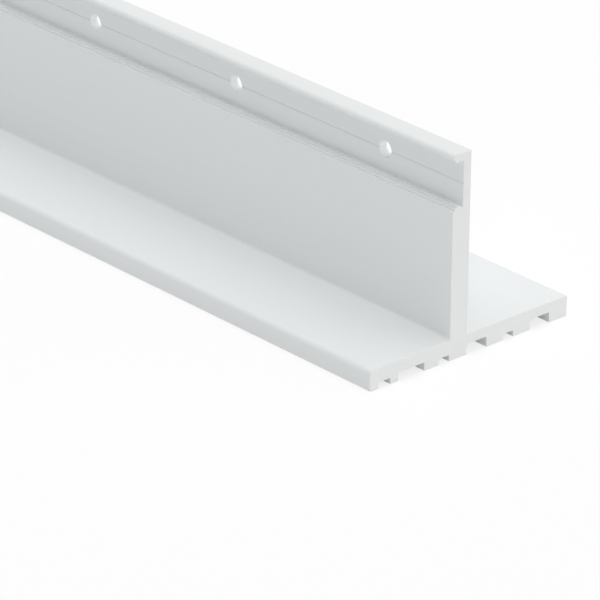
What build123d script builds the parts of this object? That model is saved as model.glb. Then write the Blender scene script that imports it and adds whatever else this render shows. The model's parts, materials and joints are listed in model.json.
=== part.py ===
from build123d import *
import os

# T-profile trim: one extruded bar of rigid plastic, standing on its flange.
# X runs across the flange, Y along the bar and Z up, from the middle of the underside.

# Length of the bar and its row of screw holes
bar_length = 1000.0
hole_pitch = 50.0
hole_diameter = 3.9
hole_end_distance = 25.0

# Flange
flange_width = 60.0
flange_thickness = 5.0
left_edge_radius = 1.35
right_edge_radius = 0.3
lower_edge_radius = 0.3

# Web, which stands to the left of the middle of the flange
total_height = 49.15
web_thickness = 5.2
left_wing = 23.8
left_foot_radius = 0.7
right_foot_radius = 0.3
top_back_radius = 0.2

# Recess in the left face of the web, where a cover strip clips in
recess_depth = 3.0
recess_height = 10.5
ledge_drop = 0.65
step_width = 0.6
step_rise = 0.56

# Lip over the recess, with a barb that holds the cover strip
lip_thickness = 1.8
lip_radius = 0.85
lip_front_flat = 0.1
barb_set_back = 1.2
barb_height = 0.43
barb_back_width = 0.35

# Fine V line along the wall of the recess, on which the screw holes lie
line_width = 0.35
line_depth = 0.25

# Teeth and keying grooves under the flange, from the left edge to the right
first_tooth_width = 2.4
first_groove_width = 3.6
second_tooth_width = 2.4
third_tooth_width = 4.3
web_tooth_width = 5.4
right_tooth_width = 5.15
last_tooth_width = 5.5
narrow_groove_width = 3.1
narrow_groove_depth = 1.5
left_groove_depth = 2.05
right_groove_depth = 2.5
groove_corner_radius = 0.25

# Places across the bar
left_edge = -flange_width / 2
right_edge = flange_width / 2
web_left = left_edge + left_wing
web_right = web_left + web_thickness
recess_wall = web_left + recess_depth

# Heights
lip_bottom = total_height - lip_thickness
lip_front_bottom = total_height - lip_radius - lip_front_flat
barb_tip_height = lip_bottom - barb_height
ledge_height = lip_bottom - recess_height
line_height = (barb_tip_height + ledge_height) / 2

# Grooves as left side, right side and depth. The two wide ones on the right share what is left.
first_groove_left = left_edge + first_tooth_width
left_groove_left = first_groove_left + first_groove_width + second_tooth_width
web_tooth_left = web_right - web_tooth_width
left_groove_right = web_tooth_left - narrow_groove_width - third_tooth_width
right_teeth_width = 2 * right_tooth_width + last_tooth_width
right_groove_width = (right_edge - web_right - right_teeth_width - narrow_groove_width) / 2
right_narrow_left = web_right + right_groove_width + right_tooth_width
last_groove_right = right_edge - last_tooth_width
grooves = [
    (first_groove_left, first_groove_left + first_groove_width, narrow_groove_depth),
    (left_groove_left, left_groove_right, left_groove_depth),
    (web_tooth_left - narrow_groove_width, web_tooth_left, narrow_groove_depth),
    (web_right, web_right + right_groove_width, right_groove_depth),
    (right_narrow_left, right_narrow_left + narrow_groove_width, narrow_groove_depth),
    (last_groove_right - right_groove_width, last_groove_right, right_groove_depth),
]

hole_count = int((bar_length - 2 * hole_end_distance) // hole_pitch) + 1


def corner(x, height):
    """The corner of the section that lies nearest to a place."""
    return vertices().sort_by_distance((x, height))[0]


with BuildPart() as t_profile:
    with BuildSketch(Plane.XZ):
        # Flange, and the web that stands on it
        with Locations((left_edge, 0)):
            Rectangle(flange_width, flange_thickness, align=(Align.MIN, Align.MIN))
        with Locations((web_left, 0)):
            Rectangle(web_thickness, total_height, align=(Align.MIN, Align.MIN))

        # Keying grooves, open downwards
        for groove_left, groove_right, groove_depth in grooves:
            with Locations((groove_left, 0)):
                Rectangle(
                    groove_right - groove_left,
                    groove_depth,
                    align=(Align.MIN, Align.MIN),
                    mode=Mode.SUBTRACT,
                )

        # Recess: lead-in and barb at the top, wall, undercut ledge, and two steps out to the web
        with BuildLine():
            Polyline(
                (web_left, lip_front_bottom),
                (web_left + barb_set_back, barb_tip_height),
                (web_left + barb_set_back + barb_back_width, lip_bottom),
                (recess_wall, lip_bottom),
                (recess_wall, ledge_height - ledge_drop),
                (web_left + 2 * step_width, ledge_height),
                (web_left + 2 * step_width, ledge_height - step_rise),
                (web_left + step_width, ledge_height - step_rise),
                (web_left + step_width, ledge_height - 2 * step_rise),
                (web_left, ledge_height - 2 * step_rise),
                close=True,
            )
        make_face(mode=Mode.SUBTRACT)

        # V line in the wall of the recess
        with BuildLine():
            Polyline(
                (recess_wall, line_height + line_width / 2),
                (recess_wall + line_depth, line_height),
                (recess_wall, line_height - line_width / 2),
                close=True,
            )
        make_face(mode=Mode.SUBTRACT)

        # Rounded edges and the fillets at the foot of the web
        fillet(corner(web_left, total_height), lip_radius)
        fillet(corner(web_right, total_height), top_back_radius)
        fillet(corner(web_left, flange_thickness), left_foot_radius)
        fillet(corner(web_right, flange_thickness), right_foot_radius)
        fillet(corner(left_edge, flange_thickness), left_edge_radius)
        fillet(corner(right_edge, flange_thickness), right_edge_radius)
        fillet([corner(left_edge, 0), corner(right_edge, 0)], lower_edge_radius)
        for groove_left, groove_right, groove_depth in grooves:
            groove_corners = [corner(groove_left, groove_depth), corner(groove_right, groove_depth)]
            fillet(groove_corners, groove_corner_radius)
    extrude(amount=bar_length / 2, both=True)

    # Screw holes through the thin upper web, centred on the V line
    with Locations(Plane((recess_wall, 0, line_height), x_dir=(0, 1, 0), z_dir=(-1, 0, 0))):
        with GridLocations(hole_pitch, 0, hole_count, 1):
            Hole(radius=hole_diameter / 2, depth=web_thickness)
t_profile.part.label = "t_profile"

os.makedirs("parts", exist_ok=True)
export_step(t_profile.part, "parts/t_profile.step")
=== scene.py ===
import json
import math

import bmesh
import bpy
from bpy.props import FloatProperty, FloatVectorProperty, IntProperty, PointerProperty, StringProperty
from mathutils import Matrix, Vector


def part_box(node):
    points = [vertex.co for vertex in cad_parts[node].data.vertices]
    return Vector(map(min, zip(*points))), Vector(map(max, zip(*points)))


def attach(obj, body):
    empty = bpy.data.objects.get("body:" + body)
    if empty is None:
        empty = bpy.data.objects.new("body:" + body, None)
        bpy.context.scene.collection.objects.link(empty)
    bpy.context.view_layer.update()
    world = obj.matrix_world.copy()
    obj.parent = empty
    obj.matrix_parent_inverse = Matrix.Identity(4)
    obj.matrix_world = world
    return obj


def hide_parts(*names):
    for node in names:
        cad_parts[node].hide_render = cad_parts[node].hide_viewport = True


bl_info = {
    "name": "T-Profile Trim",
    "version": (1, 0, 0),
    "blender": (4, 5, 0),
    "location": "View3D > Sidebar > T-Profile Trim",
    "description": "Builds a white extruded trim bar with its clip recess, grooves and screw holes",
    "category": "Add Mesh",
}

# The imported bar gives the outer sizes, and its stated screw pairs give the row of holes
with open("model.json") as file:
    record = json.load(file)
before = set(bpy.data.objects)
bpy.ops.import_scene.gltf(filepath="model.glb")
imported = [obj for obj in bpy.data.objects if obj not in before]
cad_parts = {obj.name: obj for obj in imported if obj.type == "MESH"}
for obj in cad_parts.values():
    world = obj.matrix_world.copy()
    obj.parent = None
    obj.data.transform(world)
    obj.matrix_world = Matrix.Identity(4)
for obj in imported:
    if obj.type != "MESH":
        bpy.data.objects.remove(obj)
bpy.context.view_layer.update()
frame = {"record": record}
NODE = "t_profile"
BODY = "root"
MM = 0.001
bar_low, bar_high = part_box(NODE)
screw_pairs = [mount for mount in frame["record"]["mounts"] if mount["kind"] == "bolt_pattern"]
pair_sizes = screw_pairs[0]["dims"]
PITCH = pair_sizes["spacing_x_mm"]
FIRST_HOLE = min(pair["pos_m"][1] for pair in screw_pairs) / MM - PITCH / 2 - bar_low.y / MM
HOLE_HEIGHT = screw_pairs[0]["pos_m"][2]

# The least that a length may be set to, and the distance under which two points are one
LEAST_LENGTH = 0.0001 * MM
SAME_PLACE = 0.001 * MM

# A short run takes at most one of this many parts of the stretch between two roundings
PARTS_OF_A_STRETCH = 3

# A face belongs to a sawn end where its normal lies along the bar by at least this much
END_FACING = 0.99

# Blender's wave texture repeats after this length at a scale of 1
WAVE_PERIOD = math.tau / 20

# Range that Blender's noise texture fills for the most part
NOISE_LOW, NOISE_HIGH = 0.3, 0.7

# How strongly rigid PVC bends light
PVC_IOR = 1.53

# Sockets whose names are shared, so they are found by number: of the mix of two colours, and
# of the compare of two whole numbers
MIX_SHARE, MIX_FIRST, MIX_SECOND, MIX_RESULT = 0, 6, 7, 2
WHOLE_FIRST, WHOLE_SECOND = 2, 3

# Each lamp with the setting of its strength, its spread in degrees and where it shines from
LAMPS = (
    ("overhead_lamp", "top_strength", 60.0, (0.0, 0.0, 1.0)),
    ("end_lamp", "end_strength", 40.0, (0.692, -0.692, 0.208)),
    ("fill_lamp", "fill_strength", 20.0, (-0.609, -0.674, 0.419)),
    ("side_lamp", "side_strength", 40.0, (1.0, 0.0, 1.0)),
)


def length(name, millimetres, description):
    """A length that is written in millimetres and held in metres."""
    return FloatProperty(
        name=name,
        description=description,
        default=millimetres * MM,
        min=LEAST_LENGTH,
        precision=5,
        unit="LENGTH",
    )


def hex_colour(name, colour, description):
    """An sRGB colour, written as six hex digits."""
    return StringProperty(name=name, description=description, default=colour)


def roughness(name, value, description):
    """The roughness of a finish, from 0 for a mirror to 1 for chalk."""
    return FloatProperty(
        name=name, description=description, default=value, min=0.0, max=1.0, subtype="FACTOR"
    )


def light(name, strength, description):
    """The strength of the sky or of a lamp."""
    return FloatProperty(name=name, description=description, default=strength, min=0.0)


class SectionSizes(bpy.types.PropertyGroup):
    """Sizes of the section, apart from its width and height."""

    flange_thickness: length("Flange thickness", 5.0, "Thickness of both wings")
    left_edge_radius: length("Left edge radius", 1.35, "Rounding of the narrow wing's upper edge")
    right_edge_radius: length("Right edge radius", 0.3, "Rounding of the wide wing's upper edge")
    lower_edge_radius: length("Lower edge radius", 0.3, "Rounding of the flange's two lower edges")
    web_thickness: length("Web thickness", 5.2, "Thickness of the web below the recess")
    left_wing: length("Left wing", 23.8, "Width of the narrow wing, from its edge to the web")
    left_foot_radius: length("Left foot radius", 0.7, "Fillet between the narrow wing and the web")
    right_foot_radius: length("Right foot radius", 0.3, "Fillet between the wide wing and the web")
    top_back_radius: length("Top back radius", 0.2, "Rounding of the web's upper edge at the back")
    recess_depth: length("Recess depth", 3.0, "Depth of the clip recess into the web")
    recess_height: length("Recess height", 10.5, "Height of the recess between lip and ledge")
    ledge_drop: length("Ledge drop", 0.65, "How much lower the ledge is at the wall of the recess")
    step_width: length("Step width", 0.6, "Width of each step below the ledge")
    step_rise: length("Step rise", 0.56, "Height of each step below the ledge")
    lip_thickness: length("Lip thickness", 1.8, "Thickness of the lip over the recess")
    lip_radius: length("Lip radius", 0.85, "Rounding of the lip's upper edge")
    lip_front_flat: length("Lip front flat", 0.1, "Upright front of the lip below its rounding")
    barb_set_back: length("Barb set back", 1.2, "Distance of the barb's tip behind the web's face")
    barb_height: length("Barb height", 0.43, "How far the barb stands below the lip")
    barb_back_width: length("Barb back width", 0.35, "Width of the slope behind the barb's tip")
    line_width: length("Line width", 0.35, "Width of the V line in the wall of the recess")
    line_depth: length("Line depth", 0.25, "Depth of the V line")
    first_tooth: length("First tooth", 2.4, "Width of the tooth at the narrow wing's edge")
    first_groove: length("First groove", 3.6, "Width of the groove behind the first tooth")
    second_tooth: length("Second tooth", 2.4, "Width of the second tooth from the left")
    third_tooth: length("Third tooth", 4.3, "Width of the third tooth from the left")
    web_tooth: length("Web tooth", 5.4, "Width of the tooth under the web")
    right_tooth: length("Right tooth", 5.15, "Width of the two teeth under the wide wing")
    last_tooth: length("Last tooth", 5.5, "Width of the tooth at the wide wing's edge")
    narrow_groove: length("Narrow groove", 3.1, "Width of the narrow grooves")
    narrow_depth: length("Narrow groove depth", 1.5, "Depth of the narrow grooves")
    left_depth: length("Left groove depth", 2.05, "Depth of the wide groove under the narrow wing")
    right_depth: length("Right groove depth", 2.5, "Depth of the wide grooves under the wide wing")
    groove_radius: length("Groove radius", 0.25, "Fillet in the upper corners of the grooves")
    arris_radius: length("Arris radius", 0.1, "Rounding that the die leaves on every other edge")
    arris_run: length("Arris run", 0.06, "Short straight run that ends each rounding")
    arc_step: FloatProperty(
        name="Arc step",
        description="Largest turn between two points of a rounding",
        default=math.radians(12),
        subtype="ANGLE",
    )
    smooth_angle: FloatProperty(
        name="Smooth angle",
        description="Largest turn of an edge that is still shaded smooth",
        default=math.radians(30),
        subtype="ANGLE",
    )


class HoleSizes(bpy.types.PropertyGroup):
    """The row of screw holes, and what the tools leave on the arrises that they cut."""

    diameter: length("Diameter", 2 * pair_sizes["hole_r_mm"], "Diameter of the screw holes")
    pitch: length("Pitch", PITCH, "Distance between two screw holes")
    end_distance: length("End distance", FIRST_HOLE, "Distance of the first hole from the end")
    overrun: length("Overrun", 1.0, "How far the drill passes the wall at each side")
    cut_edge: length("Cut edge", 0.04, "Width of the broken edge round the holes and the sawn ends")
    sides: IntProperty(name="Sides", description="Flat sides that make a round hole", default=64, min=12)


class FinishSettings(bpy.types.PropertyGroup):
    """Colours, roughness and pattern sizes of the three finishes on the bar."""

    skin: hex_colour("Skin", "EDEFEF", "White of the extruded faces")
    skin_streak: hex_colour("Skin streak", "E9ECEC", "White of the fainter die lines")
    sawn: hex_colour("Sawn", "EEF0EF", "White of the sawn ends")
    sawn_mark: hex_colour("Sawn mark", "ECEEED", "White in the marks of the saw")
    drilled: hex_colour("Drilled", "F0F2F2", "White of the drilled holes")
    skin_smooth: roughness("Skin smooth", 0.42, "Roughness of the smoothest die lines")
    skin_dull: roughness("Skin dull", 0.5, "Roughness of the dullest die lines")
    sawn_smooth: roughness("Sawn smooth", 0.58, "Roughness of a sawn end where it is smoothest")
    sawn_dull: roughness("Sawn dull", 0.7, "Roughness of a sawn end where it is dullest")
    drilled_smooth: roughness("Drilled smooth", 0.5, "Roughness of the drill's smoothest rings")
    drilled_dull: roughness("Drilled dull", 0.6, "Roughness of the drill's dullest rings")
    streak_width: length("Streak width", 0.6, "Width of one die line")
    streak_length: length("Streak length", 160.0, "Length over which a die line changes")
    streak_height: length("Streak height", 0.0012, "Height of the die lines")
    grain: length("Grain", 0.35, "Size of the satin grain")
    grain_height: length("Grain height", 0.0004, "Height of the satin grain")
    saw_mark: length("Saw mark", 0.7, "Distance between two marks of the saw")
    saw_height: length("Saw height", 0.0008, "Depth of the marks of the saw")
    blade_centre: FloatVectorProperty(
        name="Blade centre",
        description="Centre of the saw's arcs, well below the bar",
        default=(0.04, 0.0, -0.11),
        precision=3,
        subtype="TRANSLATION",
    )
    drill_mark: length("Drill mark", 0.3, "Distance between two rings of the drill")
    drill_height: length("Drill height", 0.002, "Depth of the rings of the drill")


class StageSettings(bpy.types.PropertyGroup):
    """Floor, light and camera."""

    floor_size: length("Floor size", 60000.0, "Side of the floor")
    floor_gap: length("Floor gap", 0.05, "Gap between the bar and the floor, which keeps them apart")
    floor_colour: hex_colour("Floor colour", "F6F7F7", "Colour of the floor as the light sees it")
    sky_colour: hex_colour("Sky colour", "FFFFFF", "Tint of the light that comes from all sides")
    sky_strength: light("Sky strength", 0.3, "Light that comes from all sides")
    floor_shadow: FloatProperty(
        name="Floor shadow",
        description="Share of the floor's white that a full shadow takes away",
        default=0.25,
        min=0.0,
        max=1.0,
        subtype="FACTOR",
    )
    top_strength: light("Top strength", 1.56, "Light of the soft lamp overhead")
    end_strength: light("End strength", 0.585, "Light of the low lamp at the right of the near end")
    fill_strength: light("Fill strength", 0.444, "Light of the lamp behind the camera")
    side_strength: light("Side strength", 0.219, "Light of the lamp on the wide wing's side")
    lens: FloatProperty(
        name="Lens",
        description="Focal length for a sensor 36 mm wide",
        default=291.53,
        unit="CAMERA",
    )
    camera_place: FloatVectorProperty(
        name="Camera place",
        description="Place of the camera from the near lower corner of the narrow wing",
        default=(-0.64806, -0.69443, 0.46161),
        precision=4,
        subtype="TRANSLATION",
    )
    camera_heading: FloatProperty(
        name="Camera heading",
        description="Turn of the view from along the bar towards the wide wing",
        default=math.radians(42.094),
        subtype="ANGLE",
    )
    camera_tilt: FloatProperty(
        name="Camera tilt",
        description="How far the view looks down",
        default=math.radians(24.844),
        subtype="ANGLE",
    )
    camera_roll: FloatProperty(
        name="Camera roll",
        description="Turn of the view about its own line",
        default=math.radians(0.514),
        subtype="ANGLE",
    )


def linear(colour):
    """Linear red, green, blue and alpha of an sRGB colour given as hex digits."""
    channels = [int(colour[place : place + 2], 16) / 255 for place in (0, 2, 4)]
    return (*(c / 12.92 if c <= 0.04045 else ((c + 0.055) / 1.055) ** 2.4 for c in channels), 1.0)


def add_node(tree, kind, inputs=None, **settings):
    """Adds a node, sets its settings, and feeds its inputs with values, sockets or lists of sockets."""
    node = tree.nodes.new(kind)
    for name, value in settings.items():
        setattr(node, name, value)
    for key, value in (inputs or {}).items():
        sources = value if isinstance(value, list) else [value]
        for source in sources:
            if isinstance(source, bpy.types.NodeSocket):
                tree.links.new(source, node.inputs[key])
            else:
                node.inputs[key].default_value = source
    return node


def new_material(name):
    """An empty node material, with its tree and its output."""
    material = bpy.data.materials.new(name)
    material.use_nodes = True
    tree = material.node_tree
    tree.nodes.clear()
    return material, tree, add_node(tree, "ShaderNodeOutputMaterial")


def object_coordinates(tree, size):
    """Object coordinates divided by the size of a pattern along X, Y and Z."""
    place = add_node(tree, "ShaderNodeTexCoord")
    scale = tuple(1 / step for step in size)
    stretch = {0: place.outputs["Object"], 1: scale}
    return add_node(tree, "ShaderNodeVectorMath", stretch, operation="MULTIPLY").outputs["Vector"]


def finish_plastic(tree, output, colour, dullness, heights):
    """Joins a colour, a roughness and a stack of bumps, as height and depth, in rigid PVC."""
    normal = None
    for height, depth in heights:
        relief = {"Height": height, "Distance": depth}
        if normal:
            relief["Normal"] = normal
        normal = add_node(tree, "ShaderNodeBump", relief).outputs["Normal"]
    plastic = add_node(
        tree,
        "ShaderNodeBsdfPrincipled",
        {"Base Color": colour, "Roughness": dullness, "IOR": PVC_IOR, "Normal": normal},
    )
    tree.links.new(plastic.outputs["BSDF"], output.inputs["Surface"])


def extruded_pvc(finish):
    """Rigid PVC as the die leaves it: satin white, with faint lines that run along the bar."""
    material, tree, output = new_material("extruded_rigid_pvc")
    # Die lines break the soft reflections into long streaks, which show how the bar was made
    width = finish.streak_width
    lines_at = object_coordinates(tree, (width, finish.streak_length, width))
    lines = add_node(tree, "ShaderNodeTexNoise", {"Vector": lines_at, "Scale": 1.0, "Detail": 3.0})
    # The real grain is a few hundredths of a millimetre, so it is drawn coarser to show at all
    grain_at = object_coordinates(tree, (finish.grain, finish.grain, finish.grain))
    grain = add_node(tree, "ShaderNodeTexNoise", {"Vector": grain_at, "Scale": 1.0, "Detail": 2.0})
    tone = add_node(
        tree,
        "ShaderNodeMix",
        {
            MIX_SHARE: lines.outputs["Fac"],
            MIX_FIRST: linear(finish.skin_streak),
            MIX_SECOND: linear(finish.skin),
        },
        data_type="RGBA",
    )
    gloss = add_node(
        tree,
        "ShaderNodeMapRange",
        {
            "Value": lines.outputs["Fac"],
            "From Min": NOISE_LOW,
            "From Max": NOISE_HIGH,
            "To Min": finish.skin_dull,
            "To Max": finish.skin_smooth,
        },
    )
    heights = [
        (lines.outputs["Fac"], finish.streak_height),
        (grain.outputs["Fac"], finish.grain_height),
    ]
    finish_plastic(tree, output, tone.outputs[MIX_RESULT], gloss.outputs["Result"], heights)
    return material


def sawn_pvc(finish):
    """Rigid PVC cut by a circular saw: duller than the skin, with faint arcs across the end."""
    material, tree, output = new_material("sawn_rigid_pvc")
    # The teeth leave the end matt and without die lines, so it reads as cut beside the satin skin.
    # Their arcs are centred well below the bar, so they cross the web nearly level.
    place = add_node(tree, "ShaderNodeTexCoord")
    from_blade = {0: place.outputs["Object"], 1: finish.blade_centre}
    arcs_at = add_node(tree, "ShaderNodeVectorMath", from_blade, operation="SUBTRACT")
    # A tooth's feed is under a tenth of a millimetre, so only every tenth mark is drawn
    arcs = add_node(
        tree,
        "ShaderNodeTexWave",
        {
            "Vector": arcs_at.outputs["Vector"],
            "Scale": WAVE_PERIOD / finish.saw_mark,
            "Distortion": 1.5,
            "Detail": 3.0,
            "Detail Scale": 1.5,
        },
        wave_type="RINGS",
        rings_direction="Y",
    )
    grain_at = object_coordinates(tree, (finish.grain, finish.grain, finish.grain))
    grain = add_node(tree, "ShaderNodeTexNoise", {"Vector": grain_at, "Scale": 1.0, "Detail": 4.0})
    tone = add_node(
        tree,
        "ShaderNodeMix",
        {
            MIX_SHARE: arcs.outputs["Fac"],
            MIX_FIRST: linear(finish.sawn_mark),
            MIX_SECOND: linear(finish.sawn),
        },
        data_type="RGBA",
    )
    gloss = add_node(
        tree,
        "ShaderNodeMapRange",
        {
            "Value": grain.outputs["Fac"],
            "From Min": NOISE_LOW,
            "From Max": NOISE_HIGH,
            "To Min": finish.sawn_smooth,
            "To Max": finish.sawn_dull,
        },
    )
    heights = [
        (arcs.outputs["Fac"], finish.saw_height),
        (grain.outputs["Fac"], finish.grain_height),
    ]
    finish_plastic(tree, output, tone.outputs[MIX_RESULT], gloss.outputs["Result"], heights)
    return material


def drilled_pvc(finish):
    """Rigid PVC inside a drilled hole: bright, with fine rings where the drill has turned."""
    material, tree, output = new_material("drilled_rigid_pvc")
    # The rings scatter the light, which keeps the inside of a hole bright and matt. They lie as
    # far apart as a drill moves on in one turn.
    place = add_node(tree, "ShaderNodeTexCoord")
    rings = add_node(
        tree,
        "ShaderNodeTexWave",
        {
            "Vector": place.outputs["Object"],
            "Scale": WAVE_PERIOD / finish.drill_mark,
            "Distortion": 0.8,
            "Detail": 2.0,
        },
        wave_type="BANDS",
        bands_direction="X",
    )
    tone = add_node(
        tree,
        "ShaderNodeMix",
        {
            MIX_SHARE: rings.outputs["Fac"],
            MIX_FIRST: linear(finish.skin),
            MIX_SECOND: linear(finish.drilled),
        },
        data_type="RGBA",
    )
    gloss = add_node(
        tree,
        "ShaderNodeMapRange",
        {
            "Value": rings.outputs["Fac"],
            "To Min": finish.drilled_smooth,
            "To Max": finish.drilled_dull,
        },
    )
    heights = [(rings.outputs["Fac"], finish.drill_height)]
    finish_plastic(tree, output, tone.outputs[MIX_RESULT], gloss.outputs["Result"], heights)
    return material


def groove_places(sizes, web_right):
    """Left side, right side and depth of each groove under the flange, from left to right."""
    first_left = bar_low.x + sizes.first_tooth
    first_right = first_left + sizes.first_groove
    web_tooth_left = web_right - sizes.web_tooth
    web_narrow_left = web_tooth_left - sizes.narrow_groove
    teeth = 2 * sizes.right_tooth + sizes.last_tooth
    wide = (bar_high.x - web_right - teeth - sizes.narrow_groove) / 2
    right_narrow_left = web_right + wide + sizes.right_tooth
    last_right = bar_high.x - sizes.last_tooth
    return [
        (first_left, first_right, sizes.narrow_depth),
        (first_right + sizes.second_tooth, web_narrow_left - sizes.third_tooth, sizes.left_depth),
        (web_narrow_left, web_tooth_left, sizes.narrow_depth),
        (web_right, web_right + wide, sizes.right_depth),
        (right_narrow_left, right_narrow_left + sizes.narrow_groove, sizes.narrow_depth),
        (last_right - wide, last_right, sizes.right_depth),
    ]


def section_corners(sizes):
    """Corners of the section as X, Z and radius, anticlockwise as seen from the near end."""
    arris = sizes.arris_radius
    floor, top = bar_low.z, bar_high.z
    flange_top = floor + sizes.flange_thickness
    web_left = bar_low.x + sizes.left_wing
    web_right = web_left + sizes.web_thickness
    wall = web_left + sizes.recess_depth
    lip_bottom = top - sizes.lip_thickness
    barb_tip = web_left + sizes.barb_set_back
    ledge = lip_bottom - sizes.recess_height
    corners = [(bar_low.x, floor, sizes.lower_edge_radius)]
    for left, right, depth in groove_places(sizes, web_right):
        corners += [
            (left, floor, arris),
            (left, floor + depth, sizes.groove_radius),
            (right, floor + depth, sizes.groove_radius),
            (right, floor, arris),
        ]
    corners += [
        (bar_high.x, floor, sizes.lower_edge_radius),
        (bar_high.x, flange_top, sizes.right_edge_radius),
        (web_right, flange_top, sizes.right_foot_radius),
        (web_right, top, sizes.top_back_radius),
        (web_left, top, sizes.lip_radius),
        (web_left, top - sizes.lip_radius - sizes.lip_front_flat, arris),
        (barb_tip, lip_bottom - sizes.barb_height, arris),
        (barb_tip + sizes.barb_back_width, lip_bottom, arris),
        (wall, lip_bottom, arris),
        (wall, HOLE_HEIGHT + sizes.line_width / 2, arris),
        (wall + sizes.line_depth, HOLE_HEIGHT, arris),
        (wall, HOLE_HEIGHT - sizes.line_width / 2, arris),
        (wall, ledge - sizes.ledge_drop, arris),
        (web_left + 2 * sizes.step_width, ledge, arris),
        (web_left + 2 * sizes.step_width, ledge - sizes.step_rise, arris),
        (web_left + sizes.step_width, ledge - sizes.step_rise, arris),
        (web_left + sizes.step_width, ledge - 2 * sizes.step_rise, arris),
        (web_left, ledge - 2 * sizes.step_rise, arris),
        (web_left, flange_top, sizes.left_foot_radius),
        (bar_low.x, flange_top, sizes.left_edge_radius),
    ]
    return corners


def rounded_outline(corners, arc_step, run, inset=0.0):
    """Points of the outline, each corner as an arc with a short straight run at both ends.

    The runs keep the smooth shading of an arc off the flat faces beside it. An inset moves the
    whole outline into the section, with as many points as before.
    """
    places = [Vector(corner[:2]) for corner in corners]
    ahead = [(places[(i + 1) % len(places)] - place) for i, place in enumerate(places)]
    # A turn to the left is positive, as at each outer corner of the section
    turns = [-ahead[i - 1].angle_signed(ahead[i]) for i in range(len(places))]
    reaches = [corner[2] * math.tan(abs(turn) / 2) for corner, turn in zip(corners, turns)]
    points = []
    for i, (place, turn, reach) in enumerate(zip(places, turns, reaches)):
        back = -ahead[i - 1].normalized()
        forth = ahead[i].normalized()
        # The centre lies inside the section at an outer corner, and outside it at an inner one
        to_centre = (back + forth).normalized() * (corners[i][2] / math.cos(turn / 2))
        centre = place + to_centre
        spokes = (place + back * reach - centre, place + forth * reach - centre)
        radius = corners[i][2] - math.copysign(inset, turn)
        free_before = ahead[i - 1].length - reaches[i - 1] - reach
        free_after = ahead[i].length - reach - reaches[(i + 1) % len(places)]
        steps = math.ceil(abs(turn) / arc_step)
        arc = [centre + spokes[0].slerp(spokes[1], step / steps) * radius for step in range(steps + 1)]
        points.append(arc[0] + back * min(run, free_before / PARTS_OF_A_STRETCH))
        points += arc
        points.append(arc[-1] + forth * min(run, free_after / PARTS_OF_A_STRETCH))
    return points


def near_end(sizes, cut_edge):
    """The end nearest the camera: the section as one face, with a broken arris round it."""
    made = bmesh.new()
    rings = []
    for inset, depth in ((cut_edge, 0.0), (0.0, cut_edge)):
        outline = rounded_outline(section_corners(sizes), sizes.arc_step, sizes.arris_run, inset)
        rings.append([made.verts.new((point.x, bar_low.y + depth, point.y)) for point in outline])
    end_ring, wall_ring = rings
    made.faces.new(end_ring)
    for i in range(len(end_ring)):
        made.faces.new((end_ring[i], end_ring[i - 1], wall_ring[i - 1], wall_ring[i]))
    mesh = bpy.data.meshes.new("near_end")
    made.to_mesh(mesh)
    made.free()
    return mesh


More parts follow.
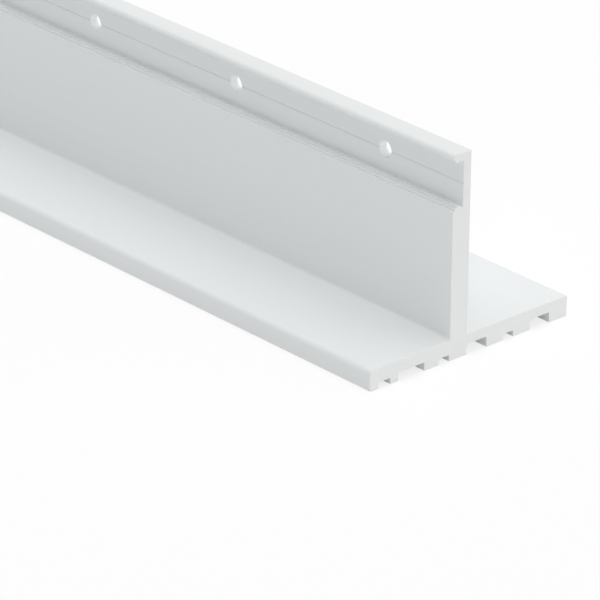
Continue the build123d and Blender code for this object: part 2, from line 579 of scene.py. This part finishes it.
def bar_tree(skin, drilled, sawn):
    """Geometry nodes that draw one end out to a bar and drill the row of holes through it."""
    tree = bpy.data.node_groups.new("drawn_and_drilled_bar", "GeometryNodeTree")
    sockets = tree.interface
    sockets.new_socket("Near End", in_out="INPUT", socket_type="NodeSocketGeometry")
    hole_sizes = ("Hole Radius", "Drill Length", "Rim Radius", "Rim Place")
    for name in ("Merge Distance", "Smooth Angle", *hole_sizes):
        sockets.new_socket(name, in_out="INPUT", socket_type="NodeSocketFloat")
    for name in ("Draw", "Far End", "First Hole", "Hole Step"):
        sockets.new_socket(name, in_out="INPUT", socket_type="NodeSocketVector")
    for name in ("Hole Count", "Hole Sides"):
        sockets.new_socket(name, in_out="INPUT", socket_type="NodeSocketInt")
    sockets.new_socket("Bar", in_out="OUTPUT", socket_type="NodeSocketGeometry")
    given = add_node(tree, "NodeGroupInput").outputs

    # The open edge of the near end is drawn along the bar, and a mirrored end closes it
    skinned = add_node(
        tree, "GeometryNodeSetMaterial", {"Geometry": given["Near End"], "Material": skin}
    ).outputs["Geometry"]
    faces = add_node(tree, "GeometryNodeInputMeshEdgeNeighbors").outputs["Face Count"]
    open_edge = add_node(
        tree,
        "FunctionNodeCompare",
        {WHOLE_FIRST: faces, WHOLE_SECOND: 1},
        data_type="INT",
        operation="EQUAL",
    ).outputs["Result"]
    drawn = add_node(
        tree,
        "GeometryNodeExtrudeMesh",
        {"Mesh": skinned, "Selection": open_edge, "Offset": given["Draw"], "Offset Scale": 1.0},
        mode="EDGES",
    ).outputs["Mesh"]
    mirrored = add_node(
        tree,
        "GeometryNodeTransform",
        {"Geometry": skinned, "Translation": given["Far End"], "Scale": (1.0, -1.0, 1.0)},
    ).outputs["Geometry"]
    far_end = add_node(tree, "GeometryNodeFlipFaces", {"Mesh": mirrored}).outputs["Mesh"]
    parts = add_node(tree, "GeometryNodeJoinGeometry", {"Geometry": [drawn, far_end]})
    closed = add_node(
        tree,
        "GeometryNodeMergeByDistance",
        {"Geometry": parts.outputs["Geometry"], "Distance": given["Merge Distance"]},
    ).outputs["Geometry"]

    # One tool for each hole of the row: a drill, and a blunt cone at each side to break the rim
    drill = add_node(
        tree,
        "GeometryNodeMeshCylinder",
        {
            "Vertices": given["Hole Sides"],
            "Radius": given["Hole Radius"],
            "Depth": given["Drill Length"],
        },
    ).outputs["Mesh"]
    cone = add_node(
        tree,
        "GeometryNodeMeshCone",
        {
            "Vertices": given["Hole Sides"],
            "Radius Bottom": given["Rim Radius"],
            "Depth": given["Rim Radius"],
        },
    ).outputs["Mesh"]
    place = add_node(tree, "ShaderNodeCombineXYZ", {"Z": given["Rim Place"]}).outputs["Vector"]
    back = add_node(tree, "GeometryNodeTransform", {"Geometry": cone, "Translation": place})
    front = add_node(
        tree,
        "GeometryNodeTransform",
        {"Geometry": back.outputs["Geometry"], "Rotation": (math.pi, 0.0, 0.0)},
    )
    tool = add_node(
        tree,
        "GeometryNodeJoinGeometry",
        {"Geometry": [drill, back.outputs["Geometry"], front.outputs["Geometry"]]},
    ).outputs["Geometry"]
    tool = add_node(
        tree, "GeometryNodeSetMaterial", {"Geometry": tool, "Material": drilled}
    ).outputs["Geometry"]
    row = add_node(
        tree,
        "GeometryNodeMeshLine",
        {
            "Count": given["Hole Count"],
            "Start Location": given["First Hole"],
            "Offset": given["Hole Step"],
        },
    ).outputs["Mesh"]
    tools = add_node(
        tree,
        "GeometryNodeInstanceOnPoints",
        {"Points": row, "Instance": tool, "Rotation": (0.0, math.pi / 2, 0.0)},
    ).outputs["Instances"]
    tools = add_node(tree, "GeometryNodeRealizeInstances", {"Geometry": tools}).outputs["Geometry"]
    # A drill and its two cones overlap, so the cut allows for tools that cross each other
    pierced = add_node(
        tree,
        "GeometryNodeMeshBoolean",
        {"Mesh 1": closed, "Mesh 2": tools, "Self Intersection": True},
        operation="DIFFERENCE",
        solver="EXACT",
    ).outputs["Mesh"]
    pierced = add_node(
        tree, "GeometryNodeMergeByDistance", {"Geometry": pierced, "Distance": given["Merge Distance"]}
    ).outputs["Geometry"]

    # Roundings are shaded smooth, and real edges stay sharp
    angle = add_node(tree, "GeometryNodeInputMeshEdgeAngle").outputs["Unsigned Angle"]
    gentle = add_node(
        tree, "FunctionNodeCompare", {0: angle, 1: given["Smooth Angle"]}, operation="LESS_THAN"
    ).outputs["Result"]
    smooth = add_node(
        tree, "GeometryNodeSetShadeSmooth", {"Geometry": pierced, "Shade Smooth": True}, domain="FACE"
    ).outputs["Geometry"]
    shaded = add_node(
        tree, "GeometryNodeSetShadeSmooth", {"Geometry": smooth, "Shade Smooth": gentle}, domain="EDGE"
    ).outputs["Geometry"]

    # The two ends are the faces that look along the bar
    whole = add_node(tree, "GeometryNodeRealizeInstances", {"Geometry": shaded}).outputs["Geometry"]
    normal = add_node(tree, "GeometryNodeInputNormal").outputs["Normal"]
    along = add_node(tree, "ShaderNodeSeparateXYZ", {"Vector": normal}).outputs["Y"]
    facing = add_node(tree, "ShaderNodeMath", {0: along}, operation="ABSOLUTE").outputs["Value"]
    at_end = add_node(
        tree, "FunctionNodeCompare", {0: facing, 1: END_FACING}, operation="GREATER_THAN"
    ).outputs["Result"]
    sawn_ends = add_node(
        tree, "GeometryNodeSetMaterial", {"Geometry": whole, "Selection": at_end, "Material": sawn}
    ).outputs["Geometry"]
    add_node(tree, "NodeGroupOutput", {"Bar": sawn_ends})
    return tree


def run_tree(piece, tree, values):
    """Runs a node tree on a piece with the given inputs, and leaves the result as a plain mesh."""
    modifier = piece.modifiers.new(tree.name, "NODES")
    modifier.node_group = tree
    # A modifier holds each input under its socket's identifier, not under its name
    for item in tree.interface.items_tree:
        if item.name in values:
            modifier[item.identifier] = values[item.name]
    evaluated = piece.evaluated_get(bpy.context.evaluated_depsgraph_get())
    mesh = bpy.data.meshes.new_from_object(evaluated)
    piece.modifiers.remove(modifier)
    piece.data = mesh
    mesh.name = piece.name


class TRIM_OT_build_bar(bpy.types.Operator):
    """Builds the whole bar and lets it stand for the plain one"""

    bl_idname = "trim.build_bar"
    bl_label = "Build Bar"

    def execute(self, context):
        scene = context.scene
        sizes, holes, finish = scene.trim_section, scene.trim_holes, scene.trim_finish
        web_right = bar_low.x + sizes.left_wing + sizes.web_thickness
        wall_thickness = sizes.web_thickness - sizes.recess_depth
        bar_length = bar_high.y - bar_low.y
        # The cones stand out of the wall by the overrun, and widen the rims by the broken edge
        rim_radius = holes.diameter / 2 + holes.cut_edge + holes.overrun
        rim_place = -wall_thickness / 2 - holes.overrun
        tree = bar_tree(extruded_pvc(finish), drilled_pvc(finish), sawn_pvc(finish))
        piece = bpy.data.objects.new("trim_bar", near_end(sizes, holes.cut_edge))
        scene.collection.objects.link(piece)
        values = {
            "Merge Distance": SAME_PLACE,
            "Smooth Angle": sizes.smooth_angle,
            "Hole Radius": holes.diameter / 2,
            "Drill Length": wall_thickness + 2 * holes.overrun,
            "Rim Radius": rim_radius,
            "Rim Place": rim_place,
            "Draw": (0.0, bar_length - 2 * holes.cut_edge, 0.0),
            "Far End": (0.0, bar_low.y + bar_high.y, 0.0),
            "First Hole": (
                web_right - wall_thickness / 2,
                bar_low.y + holes.end_distance,
                HOLE_HEIGHT,
            ),
            "Hole Step": (0.0, holes.pitch, 0.0),
            "Hole Count": round((bar_length - 2 * holes.end_distance) / holes.pitch) + 1,
            "Hole Sides": holes.sides,
        }
        run_tree(piece, tree, values)
        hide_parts(NODE)
        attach(piece, BODY)
        return {"FINISHED"}


def shows_ground(tree):
    """1 on a ray that shows the white ground behind the bar, and 0 on one that lights the bar."""
    path = add_node(tree, "ShaderNodeLightPath").outputs
    shown = path["Is Camera Ray"]
    for kind in ("Is Glossy Ray", "Is Transmission Ray"):
        shown = add_node(
            tree, "ShaderNodeMath", {0: shown, 1: path[kind]}, operation="MAXIMUM"
        ).outputs["Value"]
    return shown


def floor_material(stage):
    """A pale matt floor that the camera sees as white, with the bar's soft shadow on it."""
    material, tree, output = new_material("pale_floor")
    shadow = stage.floor_shadow
    lit = add_node(
        tree, "ShaderNodeBsdfDiffuse", {"Color": (shadow, shadow, shadow, 1.0)}
    ).outputs["BSDF"]
    white = add_node(tree, "ShaderNodeEmission", {"Strength": 1.0 - shadow}).outputs["Emission"]
    shown = add_node(tree, "ShaderNodeAddShader", {0: lit, 1: white}).outputs["Shader"]
    pale = add_node(
        tree, "ShaderNodeBsdfDiffuse", {"Color": linear(stage.floor_colour)}
    ).outputs["BSDF"]
    mix = add_node(
        tree, "ShaderNodeMixShader", {0: shows_ground(tree), 1: pale, 2: shown}
    ).outputs["Shader"]
    tree.links.new(mix, output.inputs["Surface"])
    # The white is only shown and lights nothing, so it isn't sampled as a lamp
    material.cycles.emission_sampling = "NONE"
    return material


def white_world(stage):
    """An even light from all sides, which the camera and reflections see as plain white."""
    world = bpy.data.worlds.new("white_studio")
    world.use_nodes = True
    tree = world.node_tree
    tree.nodes.clear()
    sky = add_node(
        tree,
        "ShaderNodeBackground",
        {"Color": linear(stage.sky_colour), "Strength": stage.sky_strength},
    ).outputs["Background"]
    white = add_node(tree, "ShaderNodeBackground", {"Color": linear("FFFFFF")}).outputs["Background"]
    mix = add_node(
        tree, "ShaderNodeMixShader", {0: shows_ground(tree), 1: sky, 2: white}
    ).outputs["Shader"]
    add_node(tree, "ShaderNodeOutputWorld", {"Surface": mix})
    return world


def add_lamp(scene, name, strength, spread, direction):
    """A wide soft lamp so far off that it lights the whole bar evenly."""
    lamp = bpy.data.lights.new(name, "SUN")
    lamp.energy = strength
    lamp.angle = math.radians(spread)
    holder = bpy.data.objects.new(name, lamp)
    holder.rotation_mode = "QUATERNION"
    holder.rotation_quaternion = Vector(direction).to_track_quat("Z", "Y")
    scene.collection.objects.link(holder)


def add_camera(scene, stage):
    """A long lens that looks down on the near end of the bar, over the narrow wing."""
    camera = bpy.data.cameras.new("camera")
    camera.sensor_width = 36.0
    camera.lens = stage.lens
    camera.clip_start = 0.01
    camera.clip_end = 200.0
    holder = bpy.data.objects.new("camera", camera)
    near_corner = Vector((bar_low.x, bar_low.y, bar_low.z))
    holder.matrix_world = (
        Matrix.Translation(near_corner + Vector(stage.camera_place))
        @ Matrix.Rotation(-stage.camera_heading, 4, "Z")
        @ Matrix.Rotation(math.pi / 2 - stage.camera_tilt, 4, "X")
        @ Matrix.Rotation(stage.camera_roll, 4, "Z")
    )
    scene.collection.objects.link(holder)
    scene.camera = holder


class TRIM_OT_build_stage(bpy.types.Operator):
    """Sets up the floor, the soft light and the camera"""

    bl_idname = "trim.build_stage"
    bl_label = "Build Stage"

    def execute(self, context):
        scene = context.scene
        stage = scene.trim_stage
        mesh = bpy.data.meshes.new("floor")
        made = bmesh.new()
        bmesh.ops.create_grid(made, x_segments=1, y_segments=1, size=stage.floor_size / 2)
        bmesh.ops.translate(made, verts=made.verts, vec=(0.0, 0.0, bar_low.z - stage.floor_gap))
        made.to_mesh(mesh)
        made.free()
        mesh.materials.append(floor_material(stage))
        floor = bpy.data.objects.new("floor", mesh)
        scene.collection.objects.link(floor)
        scene.world = white_world(stage)
        for name, setting, spread, direction in LAMPS:
            add_lamp(scene, name, getattr(stage, setting), spread, direction)
        add_camera(scene, stage)
        scene.view_settings.view_transform = "Standard"
        return {"FINISHED"}


class TRIM_PT_steps(bpy.types.Panel):
    """Lists the steps that build the bar and its stage"""

    bl_idname = "TRIM_PT_steps"
    bl_label = "T-Profile Trim"
    bl_space_type = "VIEW_3D"
    bl_region_type = "UI"
    bl_category = "T-Profile Trim"

    def draw(self, context):
        layout = self.layout
        for step in STEPS:
            layout.operator(step.bl_idname)
        for name in SETTINGS:
            box = layout.box()
            group = getattr(context.scene, name)
            for key in group.bl_rna.properties.keys():
                if key not in {"rna_type", "name"}:
                    box.prop(group, key)


SETTINGS = {
    "trim_section": SectionSizes,
    "trim_holes": HoleSizes,
    "trim_finish": FinishSettings,
    "trim_stage": StageSettings,
}
STEPS = (TRIM_OT_build_bar, TRIM_OT_build_stage)


def register():
    for group in SETTINGS.values():
        bpy.utils.register_class(group)
    for name, group in SETTINGS.items():
        setattr(bpy.types.Scene, name, PointerProperty(type=group))
    for step in (*STEPS, TRIM_PT_steps):
        bpy.utils.register_class(step)


def unregister():
    for step in (TRIM_PT_steps, *reversed(STEPS)):
        bpy.utils.unregister_class(step)
    for name in SETTINGS:
        delattr(bpy.types.Scene, name)
    for group in SETTINGS.values():
        bpy.utils.unregister_class(group)


def main():
    register()
    bpy.ops.trim.build_bar()
    bpy.ops.trim.build_stage()


if __name__ == "__main__":
    main()
